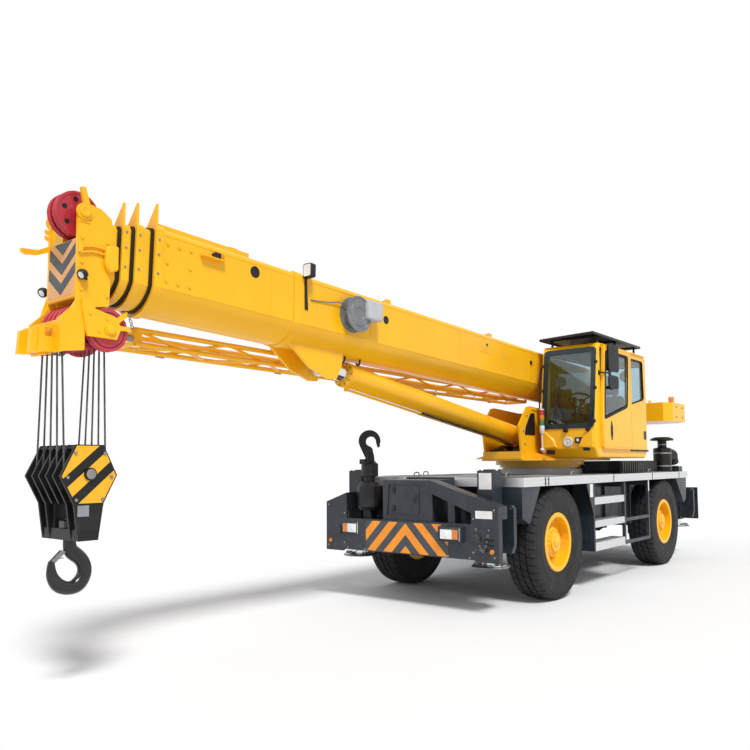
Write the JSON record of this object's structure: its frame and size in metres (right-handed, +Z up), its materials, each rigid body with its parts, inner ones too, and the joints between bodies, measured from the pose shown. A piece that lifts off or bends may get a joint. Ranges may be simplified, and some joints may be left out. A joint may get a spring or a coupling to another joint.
{
  "type": "rough terrain crane",
  "caption": "Two-axle rough terrain crane with a telescopic boom over the front, side cab, stowed lattice jib, box outriggers and a hanging hook block.",
  "frame": {"origin": "on the ground under the middle of the whole crane, boom stowed forward", "axes": "+X forward, the way the boom points; +Y to the crane's left, the cab's side; +Z up"},
  "size_m": [11.5062, 2.556, 3.6907],
  "materials": {
    "carrier_paint": "dark slate grey enamel on the carrier and outriggers",
    "yellow_paint": "warm yellow enamel on the boom, cab, turntable and rims",
    "black_paint": "satin black enamel",
    "red_paint": "crimson on the sheaves",
    "aluminium_trim": "brushed deck edge and steps",
    "tyre_rubber": "black treaded rubber",
    "chrome_rod": "bright cylinder rod and pins",
    "wire_rope": "greased wire rope",
    "tinted_glass": "blue-green tinted panes",
    "seat_trim": "dark grey cloth-look trim",
    "lamp_lens": "clear and amber lenses",
    "bare_steel": "oiled steel",
    "grey_plastic": "light grey casing"
  },
  "bodies": {
    "carrier": {"chassis_frame": "carrier_paint", "deck": "carrier_paint", "deck_trim": "aluminium_trim", "fenders": "carrier_paint", "steps": "aluminium_trim", "side_tanks": "black_paint", "engine_block": "bare_steel", "engine_hood": "black_paint", "air_intake": "black_paint", "front_outrigger_box": "carrier_paint", "rear_outrigger_box": "carrier_paint", "lamps": "lamp_lens", "auxiliary_hook": "black_paint", "slewing_ring": "bare_steel", "front_axle": "black_paint", "rear_axle": "black_paint"},
    "knuckle_front_left": {"knuckle_front_left": "black_paint"},
    "wheel_front_left": {"rim_front_left": "yellow_paint", "tyre_front_left": "tyre_rubber"},
    "knuckle_front_right": {"knuckle_front_right": "black_paint"},
    "wheel_front_right": {"rim_front_right": "yellow_paint", "tyre_front_right": "tyre_rubber"},
    "knuckle_rear_left": {"knuckle_rear_left": "black_paint"},
    "wheel_rear_left": {"rim_rear_left": "yellow_paint", "tyre_rear_left": "tyre_rubber"},
    "knuckle_rear_right": {"knuckle_rear_right": "black_paint"},
    "wheel_rear_right": {"rim_rear_right": "yellow_paint", "tyre_rear_right": "tyre_rubber"},
    "outrigger_beam_front_left": {"outrigger_beam_front_left": "carrier_paint"},
    "outrigger_jack_front_left": {"outrigger_jack_front_left": "chrome_rod"},
    "outrigger_beam_front_right": {"outrigger_beam_front_right": "carrier_paint"},
    "outrigger_jack_front_right": {"outrigger_jack_front_right": "chrome_rod"},
    "outrigger_beam_rear_left": {"outrigger_beam_rear_left": "carrier_paint"},
    "outrigger_jack_rear_left": {"outrigger_jack_rear_left": "chrome_rod"},
    "outrigger_beam_rear_right": {"outrigger_beam_rear_right": "carrier_paint"},
    "outrigger_jack_rear_right": {"outrigger_jack_rear_right": "chrome_rod"},
    "turntable": {"turntable_frame": "yellow_paint", "pivot_pins": "chrome_rod", "counterweight": "yellow_paint", "winch": "bare_steel", "cab_shell": "yellow_paint", "cab_glass": "tinted_glass", "cab_seat": "seat_trim", "roof_shade": "black_paint", "mirror_and_beacon": "black_paint"},
    "cab_door": {"cab_door": "yellow_paint", "door_glass": "tinted_glass"},
    "boom_base": {"boom_base": "yellow_paint", "lattice_jib": "yellow_paint", "cable_reel": "grey_plastic", "work_lamp": "black_paint"},
    "lift_barrel": {"lift_barrel": "yellow_paint"},
    "lift_rod": {"lift_rod": "chrome_rod"},
    "boom_section_2": {"boom_section_2": "yellow_paint"},
    "boom_section_3": {"boom_section_3": "yellow_paint"},
    "boom_section_4": {"boom_section_4": "yellow_paint", "sheaves": "red_paint"},
    "rope_falls": {"hoist_ropes": "wire_rope"},
    "hook_block": {"hook_block": "black_paint"},
    "crane_hook": {"crane_hook": "black_paint"}
  },
  "joints": [
    {"name": "steer_front_left", "type": "hinge", "parent": "carrier", "child": "knuckle_front_left", "pos_m": [-0.1081, 0.86, 0.6835], "axis": [0, 0, 1], "range_deg": [-28, 28]},
    {"name": "spin_front_left", "type": "hinge", "parent": "knuckle_front_left", "child": "wheel_front_left", "pos_m": [-0.1081, 1.0425, 0.6835], "axis": [0, 1, 0], "continuous": true},
    {"name": "steer_front_right", "type": "hinge", "parent": "carrier", "child": "knuckle_front_right", "pos_m": [-0.1081, -0.86, 0.6835], "axis": [0, 0, 1], "range_deg": [-28, 28]},
    {"name": "spin_front_right", "type": "hinge", "parent": "knuckle_front_right", "child": "wheel_front_right", "pos_m": [-0.1081, -1.0425, 0.6835], "axis": [0, 1, 0], "continuous": true},
    {"name": "steer_rear_left", "type": "hinge", "parent": "carrier", "child": "knuckle_rear_left", "pos_m": [-3.9581, 0.86, 0.6835], "axis": [0, 0, 1], "range_deg": [-28, 28]},
    {"name": "spin_rear_left", "type": "hinge", "parent": "knuckle_rear_left", "child": "wheel_rear_left", "pos_m": [-3.9581, 1.0425, 0.6835], "axis": [0, 1, 0], "continuous": true},
    {"name": "steer_rear_right", "type": "hinge", "parent": "carrier", "child": "knuckle_rear_right", "pos_m": [-3.9581, -0.86, 0.6835], "axis": [0, 0, 1], "range_deg": [-28, 28]},
    {"name": "spin_rear_right", "type": "hinge", "parent": "knuckle_rear_right", "child": "wheel_rear_right", "pos_m": [-3.9581, -1.0425, 0.6835], "axis": [0, 1, 0], "continuous": true},
    {"name": "extend_front_left", "type": "slide", "parent": "carrier", "child": "outrigger_beam_front_left", "axis": [0, 1, 0], "range_m": [0, 1.85]},
    {"name": "jack_front_left", "type": "slide", "parent": "outrigger_beam_front_left", "child": "outrigger_jack_front_left", "axis": [0, 0, -1], "range_m": [0, 0.5]},
    {"name": "extend_front_right", "type": "slide", "parent": "carrier", "child": "outrigger_beam_front_right", "axis": [0, -1, 0], "range_m": [0, 1.85]},
    {"name": "jack_front_right", "type": "slide", "parent": "outrigger_beam_front_right", "child": "outrigger_jack_front_right", "axis": [0, 0, -1], "range_m": [0, 0.5]},
    {"name": "extend_rear_left", "type": "slide", "parent": "carrier", "child": "outrigger_beam_rear_left", "axis": [0, 1, 0], "range_m": [0, 1.85]},
    {"name": "jack_rear_left", "type": "slide", "parent": "outrigger_beam_rear_left", "child": "outrigger_jack_rear_left", "axis": [0, 0, -1], "range_m": [0, 0.5]},
    {"name": "extend_rear_right", "type": "slide", "parent": "carrier", "child": "outrigger_beam_rear_right", "axis": [0, -1, 0], "range_m": [0, 1.85]},
    {"name": "jack_rear_right", "type": "slide", "parent": "outrigger_beam_rear_right", "child": "outrigger_jack_rear_right", "axis": [0, 0, -1], "range_m": [0, 0.5]},
    {"name": "slew", "type": "hinge", "parent": "carrier", "child": "turntable", "pos_m": [-2.0331, 0, 1.57], "axis": [0, 0, 1], "continuous": true},
    {"name": "door_slide", "type": "slide", "parent": "turntable", "child": "cab_door", "axis": [-1, 0, 0], "range_m": [0, 0.58]},
    {"name": "boom_luff", "type": "hinge", "parent": "turntable", "child": "boom_base", "pos_m": [-3.7831, 0, 2.93], "axis": [0, -1, 0], "range_deg": [0, 75.8]},
    {"name": "lift_barrel_swing", "type": "hinge", "parent": "turntable", "child": "lift_barrel", "pos_m": [-1.5571, 0, 2.007], "axis": [0, -1, 0], "range_deg": [0, 84.42]},
    {"name": "lift_rod_slide", "type": "slide", "parent": "lift_barrel", "child": "lift_rod", "axis": [0.9895, 0, 0.1448], "range_m": [0, 2.8405]},
    {"name": "telescope_2", "type": "slide", "parent": "boom_base", "child": "boom_section_2", "axis": [0.9993, 0, 0.0384], "range_m": [0, 7]},
    {"name": "telescope_3", "type": "slide", "parent": "boom_section_2", "child": "boom_section_3", "axis": [0.9993, 0, 0.0384], "range_m": [0, 7]},
    {"name": "telescope_4", "type": "slide", "parent": "boom_section_3", "child": "boom_section_4", "axis": [0.9993, 0, 0.0384], "range_m": [0, 7]},
    {"name": "falls_swing", "type": "hinge", "parent": "boom_section_4", "child": "rope_falls", "pos_m": [5.37719, 0, 2.65544], "axis": [0, -1, 0], "range_deg": [-75.81, 0]},
    {"name": "hoist", "type": "slide", "parent": "rope_falls", "child": "hook_block", "axis": [0, 0, 1], "range_m": [-0.65, 0.4], "deforming": ["hoist_ropes"]},
    {"name": "hook_swivel", "type": "hinge", "parent": "hook_block", "child": "crane_hook", "pos_m": [5.37719, 0, 1.15], "axis": [0, 0, 1], "continuous": true}
  ],
  "couplings": [
    {"joint": "steer_front_right", "follows": "steer_front_left", "ratio": 1},
    {"joint": "steer_rear_right", "follows": "steer_rear_left", "ratio": 1},
    {"joint": "lift_barrel_swing", "follows": "boom_luff", "ratio": 1.1136},
    {"joint": "lift_rod_slide", "follows": "boom_luff", "m_per_rad": 2.1467},
    {"joint": "telescope_3", "follows": "telescope_2", "ratio": 1},
    {"joint": "telescope_4", "follows": "telescope_2", "ratio": 1},
    {"joint": "falls_swing", "follows": "boom_luff", "ratio": -1}
  ]
}
